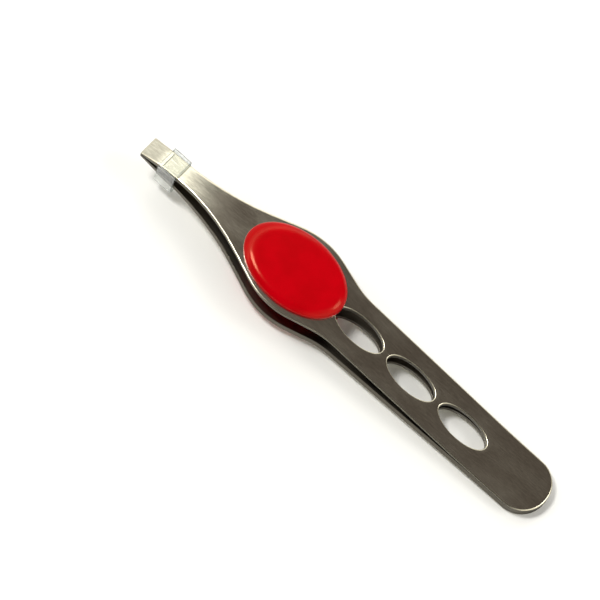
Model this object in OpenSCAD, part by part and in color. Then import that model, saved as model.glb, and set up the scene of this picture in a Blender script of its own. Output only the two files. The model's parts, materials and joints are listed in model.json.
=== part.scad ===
// Tweezers of two pierced spring arms, welded at the butt, with square ground tips.
// An oval grip pad is moulded through each arm and a clear sleeve guards the tips.
// They lie as they come to rest: on the butt and the lower pad, tips raised, butt toward +X.
// Arms are drawn on a line from the butt (0) to the tips, half of them above the mid plane.

/* [Arms] */
// Length of an arm from butt to tip
arm_len = 95.7; // [90:0.1:110]
// Sheet thickness
sheet = 1.2; // [1:0.05:1.5]
// Width of an arm behind the butt round
butt_w = 10.7; // [10.6:0.1:12]
// Radius of the corners of the butt end
butt_round = 5.2; // [3:0.1:5.3]
// Width of an arm just behind the pad seat
waist_w = 11.05; // [10:0.05:12.5]
// Width of an arm across the pad seat
seat_w = 16.27; // [15:0.01:18]
// Width of the square tip
tip_w = 4.1; // [3:0.02:4.4]
// Width the neck narrows toward
neck_w = 3.1; // [2:0.05:3.4]
// Distance from pad centre to where the neck straightens
neck_run = 19.3; // [16:0.1:21]
// Distance from pad centre back to where the seat starts to swell
belly_run = 11.8; // [10:0.1:13]
// Radius of the sides where the seat starts to swell
waist_r = 16; // [12:0.5:18]
// Radius of the sides round the pad
seat_r = 15.4; // [12:0.1:17]
// Radius of the sides along the neck
neck_r = 47; // [35:1:50]
// Length of the ground tip
tip_len = 4.2; // [3:0.1:6]
// Thickness left at the ground tip edge
tip_t = 0.6; // [0.4:0.05:1]

/* [Spread] */
// Length of the flat butt where the arms lie together
butt_len = 14.5; // [12:0.5:20]
// Gap between the arms at the pads
seat_gap = 4.1; // [3.6:0.05:5]
// Gap between the arms behind the ground tips
neck_gap = 1.3; // [1:0.05:2]
// Distance from pad centre back to where the flat of the seat starts
seat_back = 7; // [6:0.5:9]
// Distance from the ground tip back to where the flat of the seat ends
neck_back = 9.5; // [8:0.5:11]
// Radius of the bend out of the butt
butt_bend = 130; // [100:5:150]
// Radius of the bend into the seat
seat_bend = 110; // [90:5:130]
// Radius of the bend into the neck
neck_bend = 76; // [60:1:80]
// Radius of the bend into the ground tip
tip_bend = 2.2; // [1.5:0.1:3]
// Gap left between faces that touch on the mid plane
seam = 0.02; // [0.01:0.01:0.1]

/* [Holes] */
// Number of oval holes in an arm
hole_count = 3; // [1:1:3]
// Length of a hole
hole_len = 10.9; // [8:0.1:12]
// Width of a hole
hole_w = 4.85; // [4:0.05:6]
// Distance between hole centres
hole_pitch = 12.55; // [12.2:0.05:13]
// Distance from pad centre to the nearest hole centre
hole_back = 15.6; // [15:0.1:17]

/* [Pads] */
// Distance from the tip to the pad centre
pad_back = 35.2; // [33:0.1:37]
// Length of a pad
pad_len = 21.7; // [18:0.1:23]
// Width of a pad
pad_w = 14.2; // [12:0.1:15]
// Height of a pad above its arm
pad_h = 1.5; // [0.8:0.05:2]
// Height of the upright rim of a pad above its arm
pad_rim = 0.3; // [0.1:0.05:0.6]
// Depth to which the rim of a pad follows its arm down from the flat
rim_drop = 0.6; // [0.5:0.05:0.8]
// Width of the rounded shoulder of a pad
pad_shoulder = 1.9; // [0.8:0.05:2.4]
// Rise of the face of a pad from its shoulder to its centre
pad_crown = 0.12; // [0.05:0.01:0.4]
// Length of the window that holds a pad
window_len = 15; // [10:0.1:16]
// Width of the window that holds a pad
window_w = 8.4; // [6:0.1:10]
// Rim left inside the pad outline by the inner lip
lip_inset = 0.7; // [0.4:0.05:1.5]
// Thickness of the inner lip
lip_t = 0.5; // [0.3:0.05:0.8]

/* [Welds] */
// Diameter of a spot weld
weld_d = 2.6; // [1.5:0.1:3.5]
// Distance between the two spot welds
weld_gap = 4.6; // [4:0.1:6]
// Distance from the butt to the spot welds
weld_x = 5; // [3.5:0.1:6]
// Depth of a spot weld into each arm
weld_t = 0.4; // [0.2:0.05:0.6]
// Clearance round a spot weld
weld_fit = 0.05; // [0.02:0.01:0.1]

/* [Sleeve] */
// Length of the sleeve
sleeve_len = 4; // [3:0.1:8]
// Length of tip left bare in front of the sleeve
sleeve_bare = 4.2; // [3.5:0.1:8]
// Wall of the sleeve
sleeve_wall = 0.25; // [0.2:0.05:0.4]
// Side clearance between the sleeve and the tips
sleeve_side = 0.07; // [0.05:0.01:0.2]
// Clearance above the upper arm
sleeve_top = 0.3; // [0.25:0.05:0.6]
// Slack below the lower arm
sleeve_slack = 1.7; // [0.4:0.1:2.2]
// Radius of the outer corners of the sleeve
sleeve_r = 0.6; // [0.45:0.05:0.9]

/* [Hidden] */
$fn = 48;
facet = 1.25;
pad_x = arm_len - pad_back;
grind_x = arm_len - tip_len;
seat_from = pad_x - seat_back;
seat_to = grind_x - neck_back;
belly_x = pad_x - belly_run;
reach = 2 * seat_w;
hole_x = [for (k = [0:hole_count - 1]) pad_x - hole_back - k * hole_pitch];

function unit(v) = v / norm(v);
function turned(v, t) = [v.x * cos(t) - v.y * sin(t), v.x * sin(t) + v.y * cos(t)];

// Points of the round of radius r at corner v, between the straights from p and to q.
function corner(p, v, q, r, step) =
  let (a = unit(v - p), b = unit(q - v), t = atan2(a.x * b.y - a.y * b.x, a * b))
  let (s = v - a * r * tan(abs(t) / 2), c = s + sign(t) * r * [-a.y, a.x])
  let (n = max(1, ceil(abs(t) / step)))
  [for (k = [0:n]) c + turned(s - c, t * k / n)];

// Straights through the points, with the corner at each inner point rounded by its radius.
function rounded(pts, radii, step) =
  let (last = len(pts) - 1)
  [pts[0],
   for (i = [1:last - 1]) each corner(pts[i - 1], pts[i], pts[i + 1], radii[i], step),
   pts[last]];

function reversed(list) = [for (i = [len(list) - 1:-1:0]) list[i]];
function oval(x, l, w, n = 48) =
  [for (k = [0:n - 1]) [x + l / 2 * cos(360 * k / n), w / 2 * sin(360 * k / n)]];

// Inner face of the upper arm, as distance from the butt and height above the mid plane.
inner_pts = [[0, seam / 2], [butt_len, seam / 2], [seat_from, seat_gap / 2],
             [seat_to, seat_gap / 2], [grind_x, neck_gap / 2], [arm_len, seam / 2]];
inner_face = rounded(inner_pts, [0, butt_bend, seat_bend, neck_bend, tip_bend, 0], facet);
last_pt = len(inner_face) - 1;

// Outer face: the sheet's thickness off the inner face, ground thinner along the tip.
function thick(x) = sheet - (sheet - tip_t) * max(0, x - grind_x) / tip_len;
function lie(i) = unit(inner_face[min(i + 1, last_pt)] - inner_face[max(i - 1, 0)]);
outer_face = [for (i = [0:last_pt])
  i == 0 ? inner_face[0] + [0, sheet] :
  i == last_pt ? inner_face[i] + [0, tip_t] :
  inner_face[i] + thick(inner_face[i].x) * turned(lie(i), 90)];

// Height of the corner between the sides of the seat whose round just reaches the seat's width.
function crest(h, tries = 12) = tries == 0 ? h :
  let (a = unit([belly_run, h - waist_w / 2]), b = unit([neck_run, neck_w / 2 - h]))
  crest(seat_w / 2 + seat_r * (a.y * tan(acos(a * b) / 2) + a.x - 1), tries - 1);

// Half outline of an arm: butt round, straight sides, pad seat, neck and tip.
half_pts = [[butt_round, butt_w / 2], [belly_x, waist_w / 2], [pad_x, crest(seat_w / 2)],
            [pad_x + neck_run, neck_w / 2], [arm_len, tip_w / 2]];
half_line = concat(
  [for (a = [0:9:81]) [butt_round * (1 - cos(a)), butt_w / 2 - butt_round * (1 - sin(a))]],
  rounded(half_pts, [0, waist_r, seat_r, neck_r, 0], 4));

// Pad section from rim to centre, as inset and height above the flat of the arm.
pad_flat = seat_gap / 2 + sheet;
pad_rings = concat(
  [[0, -rim_drop], [0, pad_rim]],
  [for (a = [18:18:90]) [pad_shoulder * (1 - cos(a)), pad_rim + (pad_h - pad_rim) * sin(a)]],
  [for (f = [0.25, 0.5, 0.75])
    [pad_shoulder + (pad_w / 2 - pad_shoulder) * f, pad_h + pad_crown * (1 - pow(1 - f, 2))]]);
pad_top = pad_h + pad_crown;
pad_sides = 24;

// Rest: the line from the lower edge of the butt that just touches the lower pad.
butt_t = sheet + seam / 2;
function pad_inset_x(inset) = pad_len / 2 * cos(180 / pad_sides) * (1 - inset / (pad_w / 2));
tilt = max([for (p = pad_rings) atan2(pad_flat + p.y - butt_t, pad_x - pad_inset_x(p.x))]);
tip_out = seam / 2 + tip_t;
rest_z = butt_t * cos(tilt);
rest_x = (arm_len * cos(tilt) + (tip_out - butt_t) * sin(tilt)) / 2;

// Sleeve: where it starts, and the heights of its inner top and bottom.
sleeve_x = arm_len - sleeve_bare - sleeve_len;
sleeve_hi = lookup(sleeve_x, outer_face) + sleeve_top;
sleeve_lo = lookup(sleeve_x, outer_face) + sleeve_slack;
sleeve_in_w = tip_w + 2 * sleeve_side;

/* [Node] */
// Sub-part to draw

// Puts a piece drawn along the mid plane into its place at rest.
module lying() {
  translate([rest_x, 0, rest_z]) rotate([0, tilt, 0]) rotate([0, 0, 180]) children();
}

// Sheet bent to the arm's section, wider than the arm.
module bent_sheet() {
  rotate([90, 0, 0]) linear_extrude(height = reach, center = true)
    polygon(concat(inner_face, reversed(outer_face)));
}

// Prism on a plan outline, from below an upper arm to above it.
module through(outline) {
  translate([0, 0, -sheet]) linear_extrude(height = pad_flat + 2 * sheet) polygon(outline);
}

module weld_spots(d, t) {
  for (y = [-1, 1]) translate([weld_x, y * weld_gap / 2, -t]) cylinder(d = d, h = 2 * t);
}

module arm() {
  difference() {
    intersection() {
      bent_sheet();
      through(concat(half_line, [for (p = reversed(half_line)) [p.x, -p.y]]));
    }
    for (x = hole_x) through(oval(x, hole_len, hole_w));
    through(oval(pad_x, window_len, window_w));
    weld_spots(weld_d + 2 * weld_fit, weld_t + weld_fit);
  }
}

// Smooth cap of a pad, with its rim carried a little below the flat of the arm.
module pad_cap() {
  n = pad_sides;
  m = len(pad_rings);
  rim = [for (r = pad_rings, k = [0:n - 1]) let (f = 1 - r.x / (pad_w / 2), a = 360 * (k + 0.5) / n)
    [pad_x + pad_len / 2 * f * cos(a), pad_w / 2 * f * sin(a), pad_flat + r.y]];
  polyhedron(
    points = concat(rim, [[pad_x, 0, pad_flat + pad_top]]),
    faces = concat(
      [[for (k = [0:n - 1]) k]],
      [for (j = [0:m - 2], k = [0:n - 1])
        each [[j * n + k, (j + 1) * n + k, (j + 1) * n + (k + 1) % n],
              [j * n + k, (j + 1) * n + (k + 1) % n, j * n + (k + 1) % n]]],
      [for (k = [0:n - 1]) [(m - 1) * n + k, m * n, (m - 1) * n + (k + 1) % n]]));
}

// Pad: cap outside, lip inside, and the neck that fills the window between them.
module pad() {
  difference() {
    union() {
      pad_cap();
      translate([0, 0, seat_gap / 2 - lip_t]) linear_extrude(height = lip_t + sheet)
        polygon(oval(pad_x, pad_len - 2 * lip_inset, pad_w - 2 * lip_inset));
    }
    difference() {
      bent_sheet();
      through(oval(pad_x, window_len, window_w));
    }
  }
}

module round_rect(w, lo, hi, r) {
  translate([-w / 2 + r, lo]) square([w - 2 * r, hi - lo]);
  translate([-w / 2, lo + r]) square([w, hi - lo - 2 * r]);
  for (y = [-1, 1], z = [lo + r, hi - r]) translate([y * (w / 2 - r), z]) circle(r);
}

module upper_arm() {
  color([0.6, 0.58, 0.53]) lying() arm();
}

module lower_arm() {
  color([0.6, 0.58, 0.53]) lying() mirror([0, 0, 1]) arm();
}

module upper_pad() {
  color([0.78, 0.02, 0.06]) lying() pad();
}

module lower_pad() {
  color([0.78, 0.02, 0.06]) lying() mirror([0, 0, 1]) pad();
}

module spot_welds() {
  color([0.45, 0.43, 0.4]) lying() weld_spots(weld_d, weld_t);
}

module tip_sleeve() {
  color([0.86, 0.92, 0.9, 0.5]) lying() translate([sleeve_x, 0, 0]) rotate([90, 0, 90])
    linear_extrude(height = sleeve_len) difference() {
      round_rect(sleeve_in_w + 2 * sleeve_wall, -sleeve_lo - sleeve_wall,
                 sleeve_hi + sleeve_wall, sleeve_r);
      round_rect(sleeve_in_w, -sleeve_lo, sleeve_hi, sleeve_r - sleeve_wall);
    }
}

upper_arm();
lower_arm();
upper_pad();
lower_pad();
spot_welds();
tip_sleeve();
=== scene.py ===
"""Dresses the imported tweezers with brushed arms, moulded pads, a clear sleeve and a plain stage."""

import bisect
import json
import math

import bmesh
import bpy
import numpy as np
from bpy.props import FloatProperty, IntProperty, PointerProperty, StringProperty
from mathutils import Matrix, Vector, geometry, kdtree


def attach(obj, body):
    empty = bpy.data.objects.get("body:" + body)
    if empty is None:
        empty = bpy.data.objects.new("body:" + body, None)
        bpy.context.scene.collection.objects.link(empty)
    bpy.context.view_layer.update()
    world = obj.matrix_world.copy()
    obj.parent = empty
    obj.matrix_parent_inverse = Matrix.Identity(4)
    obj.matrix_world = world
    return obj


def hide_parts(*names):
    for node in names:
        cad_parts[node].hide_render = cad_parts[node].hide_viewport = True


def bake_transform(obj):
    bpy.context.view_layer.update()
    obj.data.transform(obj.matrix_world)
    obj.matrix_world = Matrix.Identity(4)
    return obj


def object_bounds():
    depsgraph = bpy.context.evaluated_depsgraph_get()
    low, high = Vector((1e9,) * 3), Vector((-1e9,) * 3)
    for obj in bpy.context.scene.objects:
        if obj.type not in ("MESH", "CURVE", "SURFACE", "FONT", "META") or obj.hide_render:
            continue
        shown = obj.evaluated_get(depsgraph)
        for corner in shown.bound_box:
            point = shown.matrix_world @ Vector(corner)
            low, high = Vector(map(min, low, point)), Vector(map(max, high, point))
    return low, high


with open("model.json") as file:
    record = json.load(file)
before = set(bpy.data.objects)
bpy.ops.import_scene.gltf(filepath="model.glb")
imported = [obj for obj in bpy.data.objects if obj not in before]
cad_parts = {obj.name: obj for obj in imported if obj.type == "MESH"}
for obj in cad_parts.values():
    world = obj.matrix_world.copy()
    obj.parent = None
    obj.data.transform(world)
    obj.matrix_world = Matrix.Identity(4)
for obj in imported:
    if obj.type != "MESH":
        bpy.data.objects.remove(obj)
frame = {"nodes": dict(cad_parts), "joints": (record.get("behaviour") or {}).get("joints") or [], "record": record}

bl_info = {
    "name": "Pad Grip Tweezers",
    "version": (1, 0, 0),
    "blender": (4, 5, 0),
    "location": "View3D > Sidebar > Tweezers",
    "description": "Builds the arms, pads and tip sleeve of pad grip tweezers and a plain stage",
    "category": "Add Mesh",
}

MM = 0.001
UPRIGHT = math.pi / 2
CAD_BOX = [list(corner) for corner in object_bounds()]
HINGE = next(j for j in frame["joints"] if j["name"] == "arm_spread")
BUTT_FACE = next(m for m in frame["record"]["mounts"] if m["name"] == "butt_face")
REST_TILT = math.atan2(-BUTT_FACE["axis"][0], -BUTT_FACE["axis"][2])


def length(name, description, millimetres):
    """A length that a user may change, given in millimetres."""
    return FloatProperty(name=name, description=description, default=millimetres * MM,
                         min=0.0, precision=5, subtype="DISTANCE", unit="LENGTH")


def angle(name, description, degrees):
    """An angle that a user may change, given in degrees."""
    return FloatProperty(name=name, description=description, default=math.radians(degrees),
                         subtype="ANGLE", unit="ROTATION")


def colour(name, description, hex_code):
    """A colour that a user may change, given as an sRGB hex value."""
    return StringProperty(name=name, description=description, default=hex_code)


class ArmSizes(bpy.types.PropertyGroup):
    """Sizes of one arm; the other arm is its mirror image."""

    arm_len: length("Arm length", "From butt to tip", 95.7)
    sheet: length("Sheet", "Thickness of the sheet", 1.2)
    butt_w: length("Butt width", "Width behind the butt round", 10.7)
    butt_round: length("Butt corner", "Radius of the corners of the butt end", 5.2)
    waist_w: length("Waist width", "Width just behind the pad seat", 11.05)
    waist_r: length("Waist radius", "Radius of the sides where the seat starts to swell", 16)
    seat_w: length("Seat width", "Width across the pad seat, where its sides would meet", 17.96)
    seat_r: length("Seat radius", "Radius of the sides round the pad", 15.4)
    tip_w: length("Tip width", "Width of the square tip", 4.1)
    neck_w: length("Neck width", "Width the neck narrows toward", 3.1)
    neck_r: length("Neck radius", "Radius of the sides along the neck", 47)
    neck_run: length("Neck run", "From pad centre to where the neck straightens", 19.3)
    belly_run: length("Belly run", "From pad centre back to where the seat starts to swell", 11.8)
    tip_len: length("Tip length", "Length of the ground tip", 4.2)
    tip_t: length("Tip thickness", "Thickness left at the ground tip edge", 0.6)
    tip_corner: length("Tip corner", "Radius that grinding leaves on the tip corners", 0.18)
    butt_len: length("Butt length", "Length over which the arms lie together", 14.5)
    seat_gap: length("Seat gap", "Gap between the arms at the pads", 4.1)
    neck_gap: length("Neck gap", "Gap between the arms behind the ground tips", 1.3)
    seat_back: length("Seat back", "From pad centre back to where the flat of the seat starts", 7)
    neck_back: length("Neck back", "From the ground tip back to where the flat of the seat ends", 9.5)
    butt_bend: length("Butt bend", "Radius of the bend out of the butt", 130)
    seat_bend: length("Seat bend", "Radius of the bend into the seat", 110)
    neck_bend: length("Neck bend", "Radius of the bend into the neck", 76)
    tip_bend: length("Tip bend", "Radius of the bend into the ground tip", 2.2)
    seam: length("Seam", "Gap between faces that touch on the mid plane", 0.02)
    edge_round: length("Hole edge round", "Radius that tumbling leaves on the hole edges", 0.22)
    side_round: length("Side edge round", "Radius of the rolled outer edges of the sides", 0.4)
    side_turn: angle("Side edge turn", "How far the rolled outer edges of the sides turn over", 55)
    break_in: length("Break", "Lean of a sheared side behind the pad; it fades toward the tip", 0.25)
    burr_round: length("Inner edge round", "Radius that is left on the edges between the arms", 0.06)
    hole_len: length("Hole length", "Length of an oval hole", 10.9)
    hole_w: length("Hole width", "Width of an oval hole", 4.85)
    hole_pitch: length("Hole pitch", "Distance between hole centres", 12.55)
    hole_back: length("Hole offset", "From pad centre to the nearest hole centre", 15.6)
    hole_count: IntProperty(name="Holes", description="Oval holes in an arm", default=3, min=1, max=3)
    pad_back: length("Pad offset", "From the tip to the pad centre", 35.2)
    window_len: length("Window length", "Length of the window that holds a pad", 15)
    window_w: length("Window width", "Width of the window that holds a pad", 8.4)
    weld_d: length("Weld pocket", "Diameter of the pocket round a spot weld", 2.7)
    weld_t: length("Weld depth", "Depth of the pocket round a spot weld", 0.45)
    weld_gap: length("Weld spacing", "Distance between the two spot welds", 4.6)
    weld_x: length("Weld offset", "From the butt to the spot welds", 5)
    held: length("Held length", "From the butt to where the welds stop holding the arms together", 7)
    stiff: length("Stiff length", "From pad centre back to where the pad stiffens its arm", 12)


class PadSizes(bpy.types.PropertyGroup):
    """Sizes of a pad, which is moulded through the window of its arm."""

    pad_len: length("Pad length", "Length of a pad", 21.7)
    pad_w: length("Pad width", "Width of a pad", 14.2)
    pad_h: length("Pad height", "Height of a pad above its arm", 1.5)
    rim: length("Rim", "Height of the upright rim above the arm", 0.3)
    shoulder: length("Shoulder", "Width of the rounded shoulder", 1.9)
    crown: length("Crown", "Rise of the face from its shoulder to its centre", 0.12)
    foot: length("Foot", "Bevel of the rim where it meets the arm", 0.05)
    lip_inset: length("Lip inset", "How far the inner lip stays inside the outline", 0.7)
    lip_t: length("Lip thickness", "Thickness of the inner lip", 0.5)
    lip_foot: length("Lip foot", "Bevel of the inner lip where it meets the arm", 0.03)
    lip_round: length("Lip round", "Radius of the edge of the inner lip", 0.15)


class SleeveSizes(bpy.types.PropertyGroup):
    """Sizes of the clear sleeve over the tips."""

    sleeve_len: length("Sleeve length", "Length of the sleeve", 4)
    bare: length("Bare tip", "Length of tip left bare in front of the sleeve", 4.2)
    wall: length("Wall", "Wall of the sleeve", 0.25)
    side: length("Side clearance", "Clearance beside the tips", 0.07)
    top: length("Top clearance", "Clearance above the upper arm", 0.3)
    slack: length("Slack", "Slack below the lower arm", 1.7)
    corner: length("Corner", "Radius of the outer corners", 0.6)
    rim: length("Rim round", "Radius of the soft rims of the ends", 0.08)
    # The smoky look of the cut ends is partly painted shade.
    smoky: length("Smoky length", "How far the smoky look of a cut end reaches in", 0.3)


class Finishes(bpy.types.PropertyGroup):
    """Colours of the materials, as sRGB hex values."""

    steel_light: colour("Steel, crests", "Light side of the brushed grain", "#D6D1BE")
    steel_dark: colour("Steel, valleys", "Dark side of the brushed grain", "#B8B3A1")
    steel_edge: colour("Steel, edges", "Rolled and tumbled edges", "#DCD4BA")
    # Partly painted shade: the sheared sides are darker than their duller finish alone makes them.
    steel_cut_and_shade: colour("Steel, cut side", "Duller sheared sides of the sheet", "#6B665C")
    # Partly painted shade: the faces between the arms are darkened where shade falls, on an unbrushed mill finish.
    steel_mill_and_shade: colour("Steel, inner face", "Unbrushed mill finish between the arms", "#5C564C")
    pad_red: colour("Pad red", "Pigment of the pads", "#B7000D")
    pad_deep: colour("Pad deep red", "Deeper cloud of the pigment", "#AC000A")
    # Painted warm tint of the pads' highlights and reflections.
    pad_shine: colour("Pad shine", "Slightly warm shine of the pigmented skin", "#FFB890")
    sleeve_tint: colour("Sleeve tint", "Faint tint of the clear sleeve", "#FDFFFE")
    # Partly painted shade: the dark lines that the cut ends show are painted into them as grey.
    sleeve_cut_and_shade: colour("Sleeve ends", "Smoky cut ends, where light stays inside the wall", "#9CA7A1")
    weld_core: colour("Weld core", "Bare steel in the middle of a weld", "#B2AB9F")
    weld_ring: colour("Weld ring", "Straw and brown heat tint round a weld", "#7D6A4C")
    paper: colour("Paper", "White paper under the tweezers", "#F3F2ED")
    tent: colour("Tent", "White walls of the light tent", "#FFFFFC")
    horizon: colour("Tent foot", "Lower part of the tent", "#E4E4E2")
    opening: colour("Tent opening", "Dim room above the tent", "#5D5551")


class StageSizes(bpy.types.PropertyGroup):
    """Camera, floor and lights."""

    distance: length("Distance", "From the camera to the middle of the tweezers", 900)
    azimuth: angle("Azimuth", "Turn of the camera round the tweezers", 26)
    elevation: angle("Elevation", "Height of the camera above the floor", 67)
    roll: angle("Roll", "Roll of the camera about its line of sight", 16.51)
    lens: FloatProperty(name="Lens", description="Focal length on a 36 mm sensor", default=301.0,
                        unit="CAMERA")
    aim_left: length("Aim left", "How far left of the middle the camera looks", 7.49)
    aim_up: length("Aim up", "How far above the middle the camera looks", 5.955)
    floor: length("Floor", "Width of the paper floor", 6000)
    drop: length("Floor drop", "How far the paper lies below the tweezers", 0.01)
    key_power: FloatProperty(name="Key power", description="Power of the key light", default=3.5,
                             unit="POWER")
    fill_power: FloatProperty(name="Fill power", description="Power of the fill light", default=1.2,
                              unit="POWER")
    tent_strength: FloatProperty(name="Tent strength", description="Brightness of the tent",
                                 default=1.0)


class TweezersSettings(bpy.types.PropertyGroup):
    """Everything about the tweezers that a user would change."""

    arm: PointerProperty(type=ArmSizes)
    pad: PointerProperty(type=PadSizes)
    sleeve: PointerProperty(type=SleeveSizes)
    finish: PointerProperty(type=Finishes)
    stage: PointerProperty(type=StageSizes)


# How finely the pieces are drawn.

BEND_STEP, SIDE_STEP, SLEEVE_STEP = math.radians(0.25), math.radians(4), math.radians(9)
SHEET_SPACING, SLEEVE_SPACING = 1.05 * MM, 0.5 * MM
EDGE_STEPS, SHOULDER_STEPS, LIP_STEPS, RIM_STEPS = 6, 14, 4, 3
HOLE_POINTS, WINDOW_POINTS, WELD_POINTS, PAD_POINTS = 64, 48, 32, 128
# Rings of a pad's face and back, as shares of the way from the centre.
FACE_RINGS, BACK_RINGS = (0.1, 0.25, 0.4, 0.55, 0.7, 0.82, 0.92), (0.6, 0.3)
# Points inside a face keep this share of the spacing from its rims.
RIM_CLEAR = 0.55
# An edge round takes at most this share of the sheet.
ROUND_SHARE = 0.38
# Power with which the finish and painted shade of a cut side fade in round its edges.
CUT_FADE = 3
# The cut at the front of the sleeve is less smoky, with less painted shade, than the one behind, by this factor.
FRONT_SMOKE_AND_SHADE = 0.4
# Room for rounding when points are counted and joined.
NEARLY = 1e-6


# Lines and surfaces, drawn along the mid plane from the butt at 0 to the tip.


def corner_round(before, at, after, radius, step):
    """Points of the round of that radius at a corner of a line."""
    a, b = (at - before).normalized(), (after - at).normalized()
    turn = math.atan2(a.x * b.y - a.y * b.x, a.dot(b))
    start = at - a * radius * math.tan(abs(turn) / 2)
    centre = start + math.copysign(radius, turn) * Vector((-a.y, a.x))
    count = max(1, math.ceil(abs(turn) / step))
    return [centre + Matrix.Rotation(turn * k / count, 2) @ (start - centre) for k in range(count + 1)]


def rounded(points, radii, step):
    """A line through the points, with each inner corner rounded by its radius."""
    points = [Vector(p) for p in points]
    line = [points[0]]
    for i in range(1, len(points) - 1):
        line += corner_round(points[i - 1], points[i], points[i + 1], radii[i], step)
    return line + [points[-1]]


def divided(line, spacing):
    """The closed line with every stretch longer than the spacing split evenly."""
    found = []
    for here, after in zip(line, line[1:] + line[:1]):
        count = max(1, math.ceil((after - here).length / spacing - NEARLY))
        found += [here.lerp(after, k / count) for k in range(count)]
    return found


def oval(centre, long, wide, count):
    """Plan points of an oval, counter-clockwise."""
    turns = (2 * math.pi * k / count for k in range(count))
    return [Vector((centre + long / 2 * math.cos(a), wide / 2 * math.sin(a))) for a in turns]


def sheet_faces(arm):
    """Inner and outer face of the upper arm, as lists of distance from the butt and height."""
    pad_x, grind = arm.arm_len - arm.pad_back, arm.arm_len - arm.tip_len
    seat, neck, shut = arm.seat_gap / 2, arm.neck_gap / 2, arm.seam / 2
    inner = rounded(
        [(0, shut), (arm.butt_len, shut), (pad_x - arm.seat_back, seat),
         (grind - arm.neck_back, seat), (grind, neck), (arm.arm_len, shut)],
        [0, arm.butt_bend, arm.seat_bend, arm.neck_bend, arm.tip_bend, 0], BEND_STEP)
    outer = []
    for i, at in enumerate(inner):
        lie = (inner[min(i + 1, len(inner) - 1)] - inner[max(i - 1, 0)]).normalized()
        thick = arm.sheet - (arm.sheet - arm.tip_t) * max(0, at.x - grind) / arm.tip_len
        off = Vector((0, 1)) if i in (0, len(inner) - 1) else Vector((-lie.y, lie.x))
        outer.append(at + thick * off)
    return inner, outer


def height(line, x):
    """Height of a face at a distance from the butt."""
    i = min(max(bisect.bisect_left(line, x, key=lambda p: p.x), 1), len(line) - 1)
    a, b = line[i - 1], line[i]
    return a.y + (b.y - a.y) * (x - a.x) / (b.x - a.x)


def arm_outline(arm):
    """Plan outline of an arm, clockwise: butt, far side, tip and near side."""
    pad_x = arm.arm_len - arm.pad_back
    half = rounded(
        [(0, 0), (0, arm.butt_w / 2), (pad_x - arm.belly_run, arm.waist_w / 2),
         (pad_x, arm.seat_w / 2), (pad_x + arm.neck_run, arm.neck_w / 2),
         (arm.arm_len, arm.tip_w / 2), (arm.arm_len, 0)],
        [0, arm.butt_round, arm.waist_r, arm.seat_r, arm.neck_r, arm.tip_corner, 0], SIDE_STEP)
    half = half[1:-1]
    return half + [Vector((p.x, -p.y)) for p in reversed(half)]


def into_sheet(loop):
    """Unit plan vectors that point from a loop into the sheet."""
    found = []
    for i, at in enumerate(loop):
        a, b = (at - loop[i - 1]).normalized(), (loop[(i + 1) % len(loop)] - at).normalized()
        along = (a + b).normalized()
        found.append(Vector((along.y, -along.x)))
    return found


def inside(points, loops):
    """For each plan point, whether it lies between the outline and the holes."""
    x, y = np.array(points)[:, 0, None], np.array(points)[:, 1, None]
    found = np.zeros(len(points), bool)
    for loop in loops:
        a = np.array(loop)
        b = np.roll(a, -1, 0)
        # A level stretch spans no point, so its rise only has to differ from 0.
        rise = np.where(b[:, 1] == a[:, 1], 1.0, b[:, 1] - a[:, 1])
        spans = (a[:, 1] > y) != (b[:, 1] > y)
        beyond = x < (b[:, 0] - a[:, 0]) * (y - a[:, 1]) / rise + a[:, 0]
        found ^= (spans & beyond).sum(1) % 2 == 1
    return found


def filled(loops, spacing):
    """Plan points and triangles between loops: the loops' own points first, then an even fill."""
    rim = [p for loop in loops for p in loop]
    tree = kdtree.KDTree(len(rim))
    for i, p in enumerate(rim):
        tree.insert((p.x, p.y, 0), i)
    tree.balance()
    low, high = np.array(rim).min(0), np.array(rim).max(0)
    count = np.ceil((high - low) / spacing).astype(int)
    grid = [Vector((low[0] + (i + 0.5) * (high[0] - low[0]) / count[0],
                    low[1] + (j + 0.5) * (high[1] - low[1]) / count[1]))
            for i in range(count[0]) for j in range(count[1])]
    grid = [p for p, keep in zip(grid, inside(grid, loops)) if keep]
    grid = [p for p in grid if tree.find((p.x, p.y, 0))[2] > RIM_CLEAR * spacing]
    points, edges, start = rim + grid, [], 0
    for loop in loops:
        edges += [(start + k, start + (k + 1) % len(loop)) for k in range(len(loop))]
        start += len(loop)
    within_outline = 1
    spots, _, faces, origin, _, _ = geometry.delaunay_2d_cdt(
        [p / MM for p in points], edges, [], within_outline, NEARLY)
    middles = [sum((spots[i] for i in face), Vector((0, 0))) * MM / 3 for face in faces]
    keeps = inside(middles, loops)
    return points, [[origin[i][0] for i in face] for face, keep in zip(faces, keeps) if keep]


def band(above, below):
    """Faces between two rings of as many vertices."""
    return [(above[k - 1], below[k - 1], below[k], above[k]) for k in range(len(above))]


def fan(centre, ring):
    """Faces between a vertex and a ring round it."""
    return [(centre, ring[k - 1], ring[k]) for k in range(len(ring))]


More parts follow.
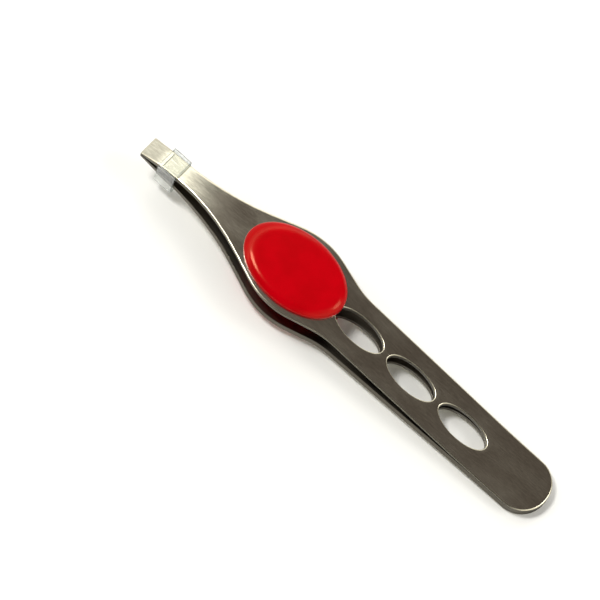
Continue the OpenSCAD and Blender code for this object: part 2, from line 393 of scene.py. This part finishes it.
def arm_surface(arm):
    """Vertices, faces and edge finish of the upper arm, whose masks also carry painted shade."""
    inner, outer = sheet_faces(arm)
    pad_x = arm.arm_len - arm.pad_back
    window = oval(pad_x, arm.window_len, arm.window_w, WINDOW_POINTS)
    cuts = [(arm_outline(arm), arm.side_round, arm.side_turn, arm.break_in),
            (window, arm.burr_round, UPRIGHT, 0)]
    for k in range(arm.hole_count):
        hole_x = pad_x - arm.hole_back - k * arm.hole_pitch
        hole = oval(hole_x, arm.hole_len, arm.hole_w, HOLE_POINTS)
        cuts.append((hole, arm.edge_round, UPRIGHT, 0))
    verts, wear_and_shade, faces, outer_rims, inner_rims = [], [], [], [], []
    for cut, edge_round, edge_turn, break_in in cuts:
        loop = divided(cut, SHEET_SPACING)
        rows = []
        for face, sign, most, full in ((outer, -1, edge_round, edge_turn),
                                       (inner, 1, arm.burr_round, UPRIGHT)):
            within = sign > 0
            for step in range(EDGE_STEPS + 1)[::-sign]:
                share = step / EDGE_STEPS
                turn = full * share
                row = []
                for at, into in zip(loop, into_sheet(loop)):
                    thick = height(outer, at.x) - height(inner, at.x)
                    radius = min(most, ROUND_SHARE * thick - arm.burr_round)
                    lean = within * break_in * min(1, (arm.arm_len - at.x) / arm.pad_back)
                    spot = at + into * (lean + radius * (math.sin(full) - math.sin(turn)))
                    spot.x = min(max(spot.x, 0), arm.arm_len)
                    rise = sign * radius * (1 - math.cos(turn))
                    row.append(len(verts))
                    verts.append((spot.x, spot.y, height(face, spot.x) + rise))
                    edge = 0.0 if within else math.sin(math.pi * share)
                    # Masks of the edge round, the cut side and the inner face; the last two also carry painted
                    # shade.
                    wear_and_shade.append((edge, share ** CUT_FADE, float(within)))
                rows.append(row)
        for above, below in zip(rows, rows[1:]):
            faces += band(above, below)
        outer_rims.append(rows[0])
        inner_rims.append(rows[-1])
    for weld_y in (-arm.weld_gap / 2, arm.weld_gap / 2):
        circle = oval(arm.weld_x, arm.weld_d, arm.weld_d, WELD_POINTS)
        rings = []
        for depth in (0, arm.weld_t):
            rings.append(range(len(verts), len(verts) + WELD_POINTS))
            verts += [(p.x, p.y + weld_y, height(inner, p.x) + depth) for p in circle]
        faces += band(*rings) + fan(len(verts), rings[1])
        verts.append((arm.weld_x, weld_y, height(inner, arm.weld_x) + arm.weld_t))
        # The weld pockets count as inner face, which carries painted shade.
        wear_and_shade += [(0.0, 0.0, 1.0)] * (2 * WELD_POINTS + 1)
        inner_rims.append(rings[0])
    for face, rims in ((outer, outer_rims), (inner, inner_rims)):
        known = [i for rim in rims for i in rim]
        loops = [[Vector(verts[i][:2]) for i in rim] for rim in rims]
        points, triangles = filled(loops, SHEET_SPACING)
        for p in points[len(known):]:
            known.append(len(verts))
            verts.append((p.x, p.y, height(face, p.x)))
            # The inner face is marked for its mill finish and its painted shade.
            wear_and_shade.append((0.0, 0.0, float(face is inner)))
        faces += [[known[i] for i in triangle] for triangle in triangles]
    return verts, faces, wear_and_shade


def pad_surface(arm, pad):
    """Vertices and faces of the upper pad, as rings from the middle of its face to its back."""
    inner, outer = sheet_faces(arm)
    pad_x, half_w = arm.arm_len - arm.pad_back, pad.pad_w / 2
    flat, back = arm.seat_gap / 2 + arm.sheet, arm.seat_gap / 2 - pad.lip_t
    face, lip = 1 - pad.shoulder / half_w, 1 - pad.lip_inset / half_w
    # Each ring has its share of the outline, or None in the window, what it lies on and its rise.
    rings = [(f * face, "flat", pad.pad_h + pad.crown * (1 - f * f)) for f in FACE_RINGS]
    for step in range(SHOULDER_STEPS, -1, -1):
        turn = UPRIGHT * step / SHOULDER_STEPS
        share = 1 - pad.shoulder * (1 - math.cos(turn)) / half_w
        rings.append((share, "flat", pad.rim + (pad.pad_h - pad.rim) * math.sin(turn)))
    rings += [(1, "outer", pad.foot), (1 - pad.foot / half_w, "outer", 0),
              (None, "outer", 0), (None, "inner", 0),
              (lip - pad.lip_foot / half_w, "inner", 0), (lip, "inner", -pad.lip_foot)]
    for step in range(LIP_STEPS + 1):
        turn = UPRIGHT * step / LIP_STEPS
        share = lip - pad.lip_round * (1 - math.cos(turn)) / half_w
        rings.append((share, "back", pad.lip_round * (1 - math.sin(turn))))
    rings += [(f, "back", 0) for f in BACK_RINGS]
    bases = {"outer": lambda x: height(outer, x), "inner": lambda x: height(inner, x),
             "flat": lambda x: flat, "back": lambda x: back}
    verts, rows = [(pad_x, 0, flat + pad.pad_h + pad.crown), (pad_x, 0, back)], []
    for share, base, rise in rings:
        if share is None:
            sizes = arm.window_len, arm.window_w
        else:
            sizes = share * pad.pad_len, share * pad.pad_w
        rows.append(range(len(verts), len(verts) + PAD_POINTS))
        verts += [(p.x, p.y, bases[base](p.x) + rise) for p in oval(pad_x, *sizes, PAD_POINTS)]
    faces = fan(0, rows[0]) + fan(1, rows[-1])
    for above, below in zip(rows, rows[1:]):
        faces += band(above, below)
    return verts, faces


def sleeve_surface(arm, sleeve):
    """Vertices, faces and end finish of the sleeve, partly painted shade: a section of its wall, carried round it.
    """
    _, outer = sheet_faces(arm)
    start = arm.arm_len - sleeve.bare - sleeve.sleeve_len
    half = arm.tip_w / 2 + sleeve.side + sleeve.wall
    high = height(outer, start) + sleeve.top + sleeve.wall
    low = -height(outer, start) - sleeve.slack - sleeve.wall
    corners = [Vector(p) for p in ((half, low), (half, high), (-half, high), (-half, low))]
    ring = []
    for before, at, after in zip(corners[-1:] + corners, corners, corners[1:] + corners):
        ring += corner_round(before, at, after, sleeve.corner, SLEEVE_STEP)
    ring = divided(ring, SLEEVE_SPACING)
    # The section is a list of distances along the sleeve and depths into its wall.
    end, wall, rim, smoky = sleeve.sleeve_len, sleeve.wall, sleeve.rim, sleeve.smoky
    section = []
    for quarter, x, depth in ((3, end - rim, rim), (0, end - rim, wall - rim),
                              (1, rim, wall - rim), (2, rim, rim)):
        for step in range(RIM_STEPS + 1):
            turn = UPRIGHT * (quarter + step / RIM_STEPS)
            section.append((x + rim * math.cos(turn), depth + rim * math.sin(turn)))
        if quarter == 0:
            section += [(end - smoky, wall), (smoky, wall)]
    section += [(smoky, 0), (end - smoky, 0)]
    verts, wear_and_shade, rows, faces = [], [], [], []
    for at, out in zip(ring, into_sheet(ring)):
        rows.append(range(len(verts), len(verts) + len(section)))
        for x, depth in section:
            verts.append((start + x, at.x - out.x * depth, at.y - out.y * depth))
            # The middle value greys the cut ends: smoke and painted shade.
            wear_and_shade.append((0.0, max(0.0, 1 - x / smoky, FRONT_SMOKE_AND_SHADE * (1 - (end - x) / smoky)), 0.0))
    for i, row in enumerate(rows):
        faces += band(rows[i - 1], row)
    return verts, faces, wear_and_shade


def at_rest(lower=False):
    """Carries a piece drawn along the mid plane to its place at rest."""
    place = Matrix.Translation(HINGE["pos_m"]) @ Matrix.Rotation(REST_TILT, 4, "Y")
    place @= Matrix.Rotation(math.pi, 4, "Z")
    return place @ Matrix.Scale(-1, 4, (0, 0, 1)) if lower else place


def new_piece(name, verts, faces, place, material, flatness, wear_and_shade=None):
    """A smooth object from a closed surface, at its place, whose large faces keep their normals."""
    form = bmesh.new()
    spots = [form.verts.new(place @ Vector(v)) for v in verts]
    for face in faces:
        form.faces.new([spots[i] for i in face])
    bmesh.ops.recalc_face_normals(form, faces=form.faces)
    open_edges = [e for e in form.edges if not e.is_manifold]
    if open_edges:
        raise RuntimeError(f"{name}: {len(open_edges)} open edges")
    mesh = bpy.data.meshes.new(name)
    form.to_mesh(mesh)
    form.free()
    mesh.polygons.foreach_set("use_smooth", [True] * len(mesh.polygons))
    # Masks of tumbled edges, cut sides and inner faces; the last two also carry painted shade.
    for trait, values in zip(("edge_round", "cut_side", "inner_face"), zip(*wear_and_shade or ())):
        mesh.attributes.new(trait, "FLOAT", "POINT").data.foreach_set("value", values)
    mesh.materials.append(material)
    piece = bpy.data.objects.new(name, mesh)
    bpy.context.scene.collection.objects.link(piece)
    weigh = piece.modifiers.new("Flats keep their normals", "WEIGHTED_NORMAL")
    weigh.mode, weigh.weight = "FACE_AREA", flatness
    return piece


# Materials.

# Sockets of a Mix node, some of which share a name.
FACTOR, NUMBER_A, NUMBER_B, COLOUR_A, COLOUR_B = 0, 2, 3, 6, 7
NUMBER_OUT, COLOUR_OUT = 0, 2


def linear(hex_code):
    """An sRGB hex value as a linear colour with full alpha."""
    parts = [int(hex_code[i:i + 2], 16) / 255 for i in (1, 3, 5)]
    return [c / 12.92 if c <= 0.04045 else ((c + 0.055) / 1.055) ** 2.4 for c in parts] + [1.0]


def add_node(tree, kind, values=None, links=None, **fields):
    """Adds a node, sets its fields and its sockets' values, and links its sockets from others."""
    node = tree.nodes.new(kind)
    for name, value in fields.items():
        setattr(node, name, value)
    for socket, value in (values or {}).items():
        node.inputs[socket].default_value = value
    for socket, source in (links or {}).items():
        tree.links.new(source, node.inputs[socket])
    return node


def new_material(name):
    """An empty node material, and its tree to fill."""
    material = bpy.data.materials.new(name)
    material.use_nodes = True
    material.node_tree.nodes.clear()
    return material, material.node_tree


def per_mm(*sizes):
    """Pattern scales, in repeats to the metre, from sizes in millimetres."""
    return [1 / (s * MM) for s in sizes]


def brushed_steel(finish):
    """Stainless sheet, belt brushed and tumbled: fine streaks, soft glints, bright edges."""
    material, tree = new_material("Stainless steel, brushed lengthwise")
    where = add_node(tree, "ShaderNodeTexCoord").outputs["Object"]
    # Grit marks are about 0.05 mm wide; they are drawn 0.2 mm wide so that they show.
    marks = add_node(tree, "ShaderNodeMapping", {"Scale": per_mm(1.6, 0.2, 3)},
                     {"Vector": where}).outputs[0]
    streak = add_node(tree, "ShaderNodeTexNoise", {"Scale": 1, "Detail": 3, "Roughness": 0.65},
                      {"Vector": marks}).outputs["Fac"]
    # Faint smears about 9 mm long are left by handling.
    smears = add_node(tree, "ShaderNodeMapping", {"Scale": per_mm(9, 3.5, 5)},
                      {"Vector": where}).outputs[0]
    smear = add_node(tree, "ShaderNodeTexNoise", {"Scale": 1, "Detail": 2},
                     {"Vector": smears}).outputs["Fac"]
    edge = add_node(tree, "ShaderNodeAttribute", attribute_name="edge_round").outputs["Fac"]
    side = add_node(tree, "ShaderNodeAttribute", attribute_name="cut_side").outputs["Fac"]
    within = add_node(tree, "ShaderNodeAttribute", attribute_name="inner_face").outputs["Fac"]
    grain = add_node(tree, "ShaderNodeMapRange", {"From Min": 0.3, "From Max": 0.7},
                     {"Value": streak}).outputs[0]
    shade = add_node(tree, "ShaderNodeMix",
                     {COLOUR_A: linear(finish.steel_dark), COLOUR_B: linear(finish.steel_light)},
                     {FACTOR: grain}, data_type="RGBA").outputs[COLOUR_OUT]
    rough = add_node(tree, "ShaderNodeMapRange",
                     {"From Min": 0.3, "From Max": 0.7, "To Min": 0.17, "To Max": 0.25},
                     {"Value": smear}).outputs[0]
    # Mill finish between the arms and sheared sides: darker, partly painted shade, and duller; edges lighter.
    for part, tint, dull in ((within, finish.steel_mill_and_shade, 0.28), (side, finish.steel_cut_and_shade, 0.45),
                             (edge, finish.steel_edge, 0.28)):
        shade = add_node(tree, "ShaderNodeMix", {COLOUR_B: linear(tint)},
                         {FACTOR: part, COLOUR_A: shade}, data_type="RGBA").outputs[COLOUR_OUT]
        rough = add_node(tree, "ShaderNodeMix", {NUMBER_B: dull},
                         {FACTOR: part, NUMBER_A: rough}).outputs[NUMBER_OUT]
    relief = add_node(tree, "ShaderNodeBump", {"Strength": 0.22, "Distance": 0.02 * MM},
                      {"Height": streak}).outputs[0]
    across = add_node(tree, "ShaderNodeCombineXYZ", {"Y": 1.0}).outputs[0]
    steel = add_node(tree, "ShaderNodeBsdfPrincipled", {"Metallic": 1.0, "Anisotropic": 0.55},
                     {"Base Color": shade, "Roughness": rough, "Normal": relief, "Tangent": across})
    add_node(tree, "ShaderNodeOutputMaterial", None, {"Surface": steel.outputs[0]})
    return material


def moulded_red(finish):
    """Pigmented ABS from a polished mould: deep even red, glossy, with a very slight orange peel."""
    material, tree = new_material("ABS, moulded gloss red")
    where = add_node(tree, "ShaderNodeTexCoord").outputs["Object"]
    # Pigment clouds are about 4 mm across, and the orange peel about 0.7 mm.
    cloud = add_node(tree, "ShaderNodeTexNoise", {"Scale": per_mm(4)[0], "Detail": 3},
                     {"Vector": where}).outputs["Fac"]
    peel = add_node(tree, "ShaderNodeTexNoise", {"Scale": per_mm(0.7)[0], "Detail": 1},
                    {"Vector": where}).outputs["Fac"]
    pigment = add_node(tree, "ShaderNodeMapRange", {"From Min": 0.35, "From Max": 0.65},
                       {"Value": cloud}).outputs[0]
    shade = add_node(tree, "ShaderNodeMix",
                     {COLOUR_A: linear(finish.pad_red), COLOUR_B: linear(finish.pad_deep)},
                     {FACTOR: pigment}, data_type="RGBA").outputs[COLOUR_OUT]
    gloss = add_node(tree, "ShaderNodeMapRange", {"To Min": 0.13, "To Max": 0.18},
                     {"Value": cloud}).outputs[0]
    relief = add_node(tree, "ShaderNodeBump", {"Strength": 0.05, "Distance": 0.02 * MM},
                      {"Height": peel}).outputs[0]
    # The shine's tint is painted: it makes the pads' highlights and reflections warm.
    plastic = add_node(
        tree, "ShaderNodeBsdfPrincipled",
        {"IOR": 1.53, "Specular IOR Level": 0.25, "Specular Tint": linear(finish.pad_shine)},
        {"Base Color": shade, "Roughness": gloss, "Normal": relief})
    add_node(tree, "ShaderNodeOutputMaterial", None, {"Surface": plastic.outputs[0]})
    return material


def clear_sleeve(finish):
    """Soft PVC tube, extruded clear: see-through, wet looking, faint die lines, smoky cut ends that are partly
    painted shade.
    """
    material, tree = new_material("Soft PVC, extruded clear")
    where = add_node(tree, "ShaderNodeTexCoord").outputs["Object"]
    # Die lines are about 0.1 mm apart; they are drawn 0.5 mm apart so that they show.
    lines = add_node(tree, "ShaderNodeMapping", {"Scale": per_mm(12, 0.5, 0.5)},
                     {"Vector": where}).outputs[0]
    die = add_node(tree, "ShaderNodeTexNoise", {"Scale": 1, "Detail": 2},
                   {"Vector": lines}).outputs["Fac"]
    haze = add_node(tree, "ShaderNodeMapRange", {"To Min": 0.02, "To Max": 0.07},
                    {"Value": die}).outputs[0]
    relief = add_node(tree, "ShaderNodeBump", {"Strength": 0.15, "Distance": 0.03 * MM},
                      {"Height": die}).outputs[0]
    # Grey at the cut ends: partly painted shade.
    ends = add_node(tree, "ShaderNodeAttribute", attribute_name="cut_side").outputs["Fac"]
    shade = add_node(tree, "ShaderNodeMix",
                     {COLOUR_A: linear(finish.sleeve_tint), COLOUR_B: linear(finish.sleeve_cut_and_shade)},
                     {FACTOR: ends}, data_type="RGBA").outputs[COLOUR_OUT]
    vinyl = add_node(tree, "ShaderNodeBsdfPrincipled", {"IOR": 1.53, "Transmission Weight": 0.96},
                     {"Base Color": shade, "Roughness": haze, "Normal": relief})
    add_node(tree, "ShaderNodeOutputMaterial", None, {"Surface": vinyl.outputs[0]})
    return material


def welded_steel(finish):
    """Steel fused by spot welding: a bare core in a ring of straw and brown heat tint."""
    material, tree = new_material("Stainless steel, spot welded")
    where = add_node(tree, "ShaderNodeTexCoord").outputs["Object"]
    # Ripples of the weld are about 0.6 mm apart.
    ripple = add_node(tree, "ShaderNodeTexNoise", {"Scale": per_mm(0.6)[0], "Detail": 4},
                      {"Vector": where}).outputs["Fac"]
    tint = add_node(tree, "ShaderNodeMapRange", {"From Min": 0.4, "From Max": 0.62},
                    {"Value": ripple}).outputs[0]
    shade = add_node(tree, "ShaderNodeMix",
                     {COLOUR_A: linear(finish.weld_core), COLOUR_B: linear(finish.weld_ring)},
                     {FACTOR: tint}, data_type="RGBA").outputs[COLOUR_OUT]
    rough = add_node(tree, "ShaderNodeMapRange", {"To Min": 0.35, "To Max": 0.6},
                     {"Value": ripple}).outputs[0]
    relief = add_node(tree, "ShaderNodeBump", {"Strength": 0.3, "Distance": 0.05 * MM},
                      {"Height": ripple}).outputs[0]
    steel = add_node(tree, "ShaderNodeBsdfPrincipled", {"Metallic": 1.0},
                     {"Base Color": shade, "Roughness": rough, "Normal": relief})
    add_node(tree, "ShaderNodeOutputMaterial", None, {"Surface": steel.outputs[0]})
    return material


def white_paper(finish):
    """Matt white studio paper: even, with hardly any tooth."""
    material, tree = new_material("Paper, matt white")
    where = add_node(tree, "ShaderNodeTexCoord").outputs["Object"]
    # The tooth is about 1.5 mm across.
    tooth = add_node(tree, "ShaderNodeTexNoise", {"Scale": per_mm(1.5)[0], "Detail": 3},
                     {"Vector": where}).outputs["Fac"]
    relief = add_node(tree, "ShaderNodeBump", {"Strength": 0.02, "Distance": 0.05 * MM},
                      {"Height": tooth}).outputs[0]
    sheet = add_node(tree, "ShaderNodeBsdfPrincipled",
                     {"Base Color": linear(finish.paper), "Roughness": 0.9,
                      "Specular IOR Level": 0.1}, {"Normal": relief})
    add_node(tree, "ShaderNodeOutputMaterial", None, {"Surface": sheet.outputs[0]})
    return material


# Operators.

# How strongly the large faces of the arms, and of the other pieces, set the normals beside them.
ARM_FLATNESS, SOFT_FLATNESS = 90, 50


class TWEEZERS_OT_arms(bpy.types.Operator):
    """Build both brushed steel arms, which stay together at the welded butt"""

    bl_idname = "tweezers.arms"
    bl_label = "Build Arms"

    def execute(self, context):
        settings = context.scene.tweezers
        arm, steel = settings.arm, brushed_steel(settings.finish)
        verts, faces, wear_and_shade = arm_surface(arm)
        place, free = at_rest(), arm.arm_len - arm.pad_back - arm.stiff
        for name, lower in (("upper_arm_brushed", False), ("lower_arm_brushed", True)):
            piece = new_piece(name, verts, faces, at_rest(lower), steel, ARM_FLATNESS, wear_and_shade)
            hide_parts("lower_arm" if lower else "upper_arm")
            if lower:
                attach(piece, "lower_half")
            else:
                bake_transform(piece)
        return {"FINISHED"}


class TWEEZERS_OT_pads(bpy.types.Operator):
    """Build both red pads, each a cap, a neck through the arm and an inner lip"""

    bl_idname = "tweezers.pads"
    bl_label = "Build Pads"

    def execute(self, context):
        settings = context.scene.tweezers
        red = moulded_red(settings.finish)
        verts, faces = pad_surface(settings.arm, settings.pad)
        for name, lower in (("upper_pad_moulded", False), ("lower_pad_moulded", True)):
            piece = new_piece(name, verts, faces, at_rest(lower), red, SOFT_FLATNESS)
            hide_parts("lower_pad" if lower else "upper_pad")
            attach(piece, "lower_half" if lower else "upper_half")
        return {"FINISHED"}


class TWEEZERS_OT_sleeve(bpy.types.Operator):
    """Build the clear sleeve that guards the tips"""

    bl_idname = "tweezers.sleeve"
    bl_label = "Build Sleeve"

    def execute(self, context):
        settings = context.scene.tweezers
        vinyl = clear_sleeve(settings.finish)
        verts, faces, wear_and_shade = sleeve_surface(settings.arm, settings.sleeve)
        piece = new_piece("tip_sleeve_clear", verts, faces, at_rest(), vinyl, SOFT_FLATNESS, wear_and_shade)
        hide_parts("tip_sleeve")
        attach(piece, "sleeve")
        return {"FINISHED"}


class TWEEZERS_OT_welds(bpy.types.Operator):
    """Give the spot welds between the arms their finish"""

    bl_idname = "tweezers.welds"
    bl_label = "Finish Welds"

    def execute(self, context):
        welds = frame["nodes"]["spot_welds"]
        welds.data.materials.clear()
        welds.data.materials.append(welded_steel(context.scene.tweezers.finish))
        return {"FINISHED"}


# Brightness and colour of the tent from the tip side, at -1, to the butt side, at 1.
# The dark opening lies between.
TENT_GLOW = (
    (-1.0, 0.9, "tent"), (-0.62, 0.79, "tent"), (-0.44, 2.3, "tent"), (-0.37, 3.2, "tent"),
    (-0.29, 0.6, "tent"), (-0.21, 0.3, "tent"), (-0.13, 2.2, "opening"), (-0.07, 1.0, "opening"),
    (0.4, 1.0, "opening"), (0.62, 1.0, "tent"), (1.0, 1.6, "tent"),
)
# Line across the tent along which that brightness runs, and where it starts and ends.
TENT_LINE, TENT_START, TENT_END = (1.0, -0.35, 0.0), -1.12, 0.88
# The near wall fades in between these two places, with a dim stretch round its middle.
NEAR_WALL = {"From Min": 0.15, "From Max": -0.25}
DIM_MIDDLE, DIM_STRETCH = 0.08, {"From Min": 0.75, "From Max": 0.2}
DIM_GLOW = {"To Min": 0.95, "To Max": 0.14}
# Heights between which the foot of the tent fades in.
TENT_FOOT = {"From Min": 0.4, "From Max": 0.15}
# Name, place and width in metres of each light, and the setting that holds its power.
LIGHTS = (("Key light", (-0.3, -0.1, 0.735), 0.2, "key_power"),
          ("Fill light", (0.47, 0.28, 0.58), 0.28, "fill_power"))
# Width of the camera's sensor in millimetres, and the nearest and farthest that it sees in metres.
SENSOR, NEAREST, FARTHEST = 36, 0.01, 50


class TWEEZERS_OT_stage(bpy.types.Operator):
    """Lay the paper floor, hang the lights and set up the camera"""

    bl_idname = "tweezers.stage"
    bl_label = "Set Stage"

    def execute(self, context):
        scene = context.scene
        stage, finish = scene.tweezers.stage, scene.tweezers.finish
        self.lay_floor(scene, stage, finish)
        self.pitch_tent(scene, stage, finish)
        self.hang_lights(scene, stage)
        self.aim(scene, stage)
        scene.view_settings.view_transform = "Standard"
        return {"FINISHED"}

    def lay_floor(self, scene, stage, finish):
        """A wide sheet of paper at the height the tweezers lie on."""
        form = bmesh.new()
        bmesh.ops.create_grid(form, x_segments=8, y_segments=8, size=stage.floor / 2)
        mesh = bpy.data.meshes.new("paper_floor")
        form.to_mesh(mesh)
        form.free()
        mesh.materials.append(white_paper(finish))
        floor = bpy.data.objects.new("paper_floor", mesh)
        floor.location.z = CAD_BOX[0][2] - stage.drop
        scene.collection.objects.link(floor)

    def pitch_tent(self, scene, stage, finish):
        """A white tent that opens above the tweezers and is dim in front of them."""
        scene.world = bpy.data.worlds.new("Light tent")
        scene.world.use_nodes = True
        tree = scene.world.node_tree
        tree.nodes.clear()
        toward = add_node(tree, "ShaderNodeTexCoord").outputs["Generated"]
        parts = add_node(tree, "ShaderNodeSeparateXYZ", None, {0: toward}).outputs
        slant = add_node(tree, "ShaderNodeVectorMath", {1: TENT_LINE}, {0: toward},
                         operation="DOT_PRODUCT")
        across = add_node(tree, "ShaderNodeMapRange",
                          {"From Min": TENT_START, "From Max": TENT_END},
                          {"Value": slant.outputs["Value"]})
        walls = add_node(tree, "ShaderNodeValToRGB", None, {0: across.outputs[0]})
        stops = walls.color_ramp.elements
        for x, _, _ in TENT_GLOW[1:-1]:
            stops.new((x + 1) / 2)
        for stop, (_, glow, tint) in zip(stops, TENT_GLOW):
            stop.color = [glow * part for part in linear(getattr(finish, tint))[:3]] + [1]
        low = add_node(tree, "ShaderNodeMapRange", TENT_FOOT, {"Value": parts["Z"]},
                       interpolation_type="SMOOTHSTEP")
        shade = add_node(tree, "ShaderNodeMix", {COLOUR_B: linear(finish.horizon)},
                         {FACTOR: low.outputs[0], COLOUR_A: walls.outputs[0]}, data_type="RGBA")
        near = add_node(tree, "ShaderNodeMapRange", NEAR_WALL, {"Value": parts["Y"]},
                        interpolation_type="SMOOTHSTEP")
        aside = add_node(tree, "ShaderNodeMath", {1: DIM_MIDDLE}, {0: parts["X"]},
                         operation="SUBTRACT")
        aside = add_node(tree, "ShaderNodeMath", None, {0: aside.outputs[0]}, operation="ABSOLUTE")
        middle = add_node(tree, "ShaderNodeMapRange", DIM_STRETCH, {"Value": aside.outputs[0]},
                          interpolation_type="SMOOTHSTEP")
        front = add_node(tree, "ShaderNodeMapRange", DIM_GLOW, {"Value": middle.outputs[0]})
        dim = add_node(tree, "ShaderNodeMix", {NUMBER_A: 1.0},
                       {FACTOR: near.outputs[0], NUMBER_B: front.outputs[0]})
        power = add_node(tree, "ShaderNodeMath", {1: stage.tent_strength},
                         {0: dim.outputs[NUMBER_OUT]}, operation="MULTIPLY")
        tent = add_node(tree, "ShaderNodeBackground", None,
                        {"Color": shade.outputs[COLOUR_OUT], "Strength": power.outputs[0]})
        add_node(tree, "ShaderNodeOutputWorld", None, {"Surface": tent.outputs[0]})

    def hang_lights(self, scene, stage):
        """A key light by the tips and a weak fill by the butt, both turned to the tweezers."""
        for name, place, size, power in LIGHTS:
            lamp = bpy.data.lights.new(name, "AREA")
            lamp.shape, lamp.size, lamp.energy = "DISK", size, getattr(stage, power)
            light = bpy.data.objects.new(name, lamp)
            light.location = place
            light.rotation_euler = Vector(place).to_track_quat("Z", "Y").to_euler()
            light.visible_camera = False
            scene.collection.objects.link(light)

    def aim(self, scene, stage):
        """A long lens from high on the near side, rolled as the picture shows."""
        a, e, roll = stage.azimuth, stage.elevation, stage.roll
        back = Vector((math.sin(a) * math.cos(e), -math.cos(a) * math.cos(e), math.sin(e)))
        level = Vector((math.cos(a), math.sin(a), 0))
        rise = back.cross(level)
        right = level * math.cos(roll) + rise * math.sin(roll)
        up = back.cross(right)
        lens = bpy.data.cameras.new("Camera")
        lens.lens, lens.sensor_width = stage.lens, SENSOR
        lens.clip_start, lens.clip_end = NEAREST, FARTHEST
        camera = bpy.data.objects.new("Camera", lens)
        aim = up * stage.aim_up - right * stage.aim_left
        camera.matrix_world = Matrix.Translation(aim + back * stage.distance) @ Matrix(
            (right, up, back)).transposed().to_4x4()
        scene.collection.objects.link(camera)
        scene.camera = camera


class TWEEZERS_PT_panel(bpy.types.Panel):
    """Sizes, finishes and steps of the tweezers"""

    bl_idname = "TWEEZERS_PT_panel"
    bl_label = "Tweezers"
    bl_space_type = "VIEW_3D"
    bl_region_type = "UI"
    bl_category = "Tweezers"

    def draw(self, context):
        settings = context.scene.tweezers
        for step in STEPS:
            self.layout.operator(step.bl_idname)
        for group in (settings.arm, settings.pad, settings.sleeve, settings.finish, settings.stage):
            column = self.layout.box().column(align=True)
            for name in group.__annotations__:
                column.prop(group, name)


STEPS = (TWEEZERS_OT_arms, TWEEZERS_OT_pads, TWEEZERS_OT_sleeve, TWEEZERS_OT_welds, TWEEZERS_OT_stage)
CLASSES = (ArmSizes, PadSizes, SleeveSizes, Finishes, StageSizes, TweezersSettings, *STEPS,
           TWEEZERS_PT_panel)


def register():
    """Adds the classes and the scene's settings."""
    for cls in CLASSES:
        bpy.utils.register_class(cls)
    bpy.types.Scene.tweezers = PointerProperty(type=TweezersSettings)


def unregister():
    """Takes the settings and the classes away again."""
    del bpy.types.Scene.tweezers
    for cls in reversed(CLASSES):
        bpy.utils.unregister_class(cls)


def main():
    """Builds every piece and the stage."""
    register()
    bpy.ops.tweezers.arms()
    bpy.ops.tweezers.pads()
    bpy.ops.tweezers.sleeve()
    bpy.ops.tweezers.welds()
    bpy.ops.tweezers.stage()


if __name__ == "__main__":
    main()
